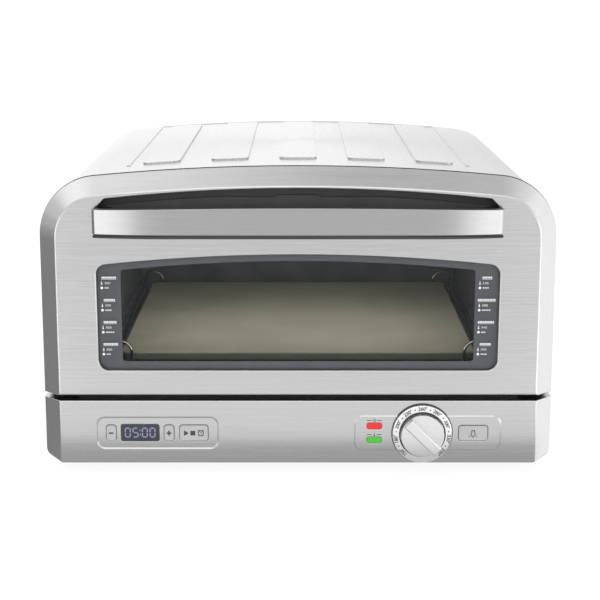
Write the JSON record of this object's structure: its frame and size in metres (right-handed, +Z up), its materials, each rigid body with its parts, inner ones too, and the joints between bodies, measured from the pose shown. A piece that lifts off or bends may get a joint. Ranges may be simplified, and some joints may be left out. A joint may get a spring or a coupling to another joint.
{
  "type": "countertop pizza oven",
  "caption": "Wide countertop oven with an arched roof, a drop-down glass door over a control base, and a flat stone on a wire rack inside.",
  "frame": {"origin": "on the resting plane, under the middle of the whole oven", "axes": "+Z up, the door and the controls face -Y, +X to the right of someone facing the door"},
  "size_m": [0.4488, 0.428, 0.2737],
  "materials": {
    "door_steel": "brushed sideways, satin",
    "casing_steel": "fine satin",
    "handle_steel": "fine brushed",
    "structural_steel": "zinc-plated sheet",
    "dark_enamel": "satin dark enamel",
    "oven_enamel": "baked grey enamel",
    "window_glass": "clear, printed border",
    "inner_glass": "clear",
    "lamp_glass": "clear",
    "gasket_rubber": "matte silicone",
    "foot_rubber": "matte",
    "black_plastic": "fine textured",
    "key_plastic": "satin light grey",
    "display_plastic": "smoked gloss",
    "red_lens": "lit red lens",
    "green_lens": "lit green lens",
    "bezel_metal": "satin ring with printed scale",
    "knob_metal": "satin plated",
    "element_metal": "heat-darkened sheath",
    "rack_chrome": "bright wire",
    "stone": "fine cordierite",
    "ceramic": "unglazed",
    "wool": "fibre blanket",
    "circuit_board": "solder-resist green",
    "fastener_steel": "zinc-plated",
    "frit_print": "dark grey ceramic print on the glass",
    "white_print": "white ceramic print",
    "black_print": "screen-printed marks",
    "display_light": "lit display segments"
  },
  "bodies": {
    "oven": {"base_fascia": "door_steel", "base_tray": "casing_steel", "board_posts": "structural_steel", "bottom_plate": "structural_steel", "cavity_liner": "oven_enamel", "chassis_deck": "dark_enamel", "control_board": "circuit_board", "cord_gland": "black_plastic", "dial_bezel": "bezel_metal", "display_module": "black_plastic", "display_window": "display_plastic", "element_hangers": "structural_steel", "feet": "foot_rubber", "foot_screws": "fastener_steel", "front_frame": "dark_enamel", "hinge_brackets": "structural_steel", "housing_wrap": "casing_steel", "insulation": "wool", "key_switches": "black_plastic", "lamp_bulb": "lamp_glass", "lamp_holder": "ceramic", "lamp_lens": "lamp_glass", "lower_elements": "element_metal", "power_board": "circuit_board", "power_lens": "red_lens", "power_posts": "structural_steel", "rack_guides": "oven_enamel", "ready_lens": "green_lens", "rear_bumpers": "foot_rubber", "rear_panel": "structural_steel", "rear_screws": "fastener_steel", "temperature_probe": "element_metal", "terminal_blocks": "ceramic", "thermostat_body": "structural_steel", "upper_elements": "element_metal"},
    "door": {"door_shell": "door_steel", "door_liner": "dark_enamel", "door_window": "window_glass", "door_inner_glass": "inner_glass", "window_clips": "structural_steel", "door_gasket": "gasket_rubber", "handle_pocket": "dark_enamel", "handle_core": "black_plastic", "handle_skin": "handle_steel", "handle_screws": "fastener_steel", "hinge_leaves": "structural_steel", "hinge_pins": "fastener_steel"},
    "rack": {"stone_rack": "rack_chrome", "pizza_stone": "stone"},
    "dial": {"dial_knob": "knob_metal", "dial_shaft": "fastener_steel"},
    "minus_key_body": {"minus_key": "key_plastic"},
    "plus_key_body": {"plus_key": "key_plastic"},
    "start_key_body": {"start_key": "key_plastic"},
    "lamp_key_body": {"lamp_key": "key_plastic"}
  },
  "joints": [
    {"name": "door_hinge", "type": "hinge", "parent": "oven", "child": "door", "pos_m": [0, -0.1885, 0.0762], "axis": [1, 0, 0], "range_deg": [0, 90]},
    {"name": "rack_slide", "type": "slide", "parent": "oven", "child": "rack", "axis": [0, -1, 0], "range_m": [0, 0.032]},
    {"name": "dial_turn", "type": "hinge", "parent": "oven", "child": "dial", "pos_m": [0.1093, -0.194, 0.039], "axis": [0, -1, 0], "range_deg": [0, 270]},
    {"name": "minus_press", "type": "slide", "parent": "oven", "child": "minus_key_body", "axis": [0, 1, 0], "range_m": [0, 0.0012], "stiffness_N_per_m": 400},
    {"name": "plus_press", "type": "slide", "parent": "oven", "child": "plus_key_body", "axis": [0, 1, 0], "range_m": [0, 0.0012], "stiffness_N_per_m": 400},
    {"name": "start_press", "type": "slide", "parent": "oven", "child": "start_key_body", "axis": [0, 1, 0], "range_m": [0, 0.0012], "stiffness_N_per_m": 400},
    {"name": "lamp_press", "type": "slide", "parent": "oven", "child": "lamp_key_body", "axis": [0, 1, 0], "range_m": [0, 0.0012], "stiffness_N_per_m": 400}
  ],
  "couplings": [
    {"joint": "rack_slide", "follows": "door_hinge", "m_per_rad": 0.02}
  ]
}
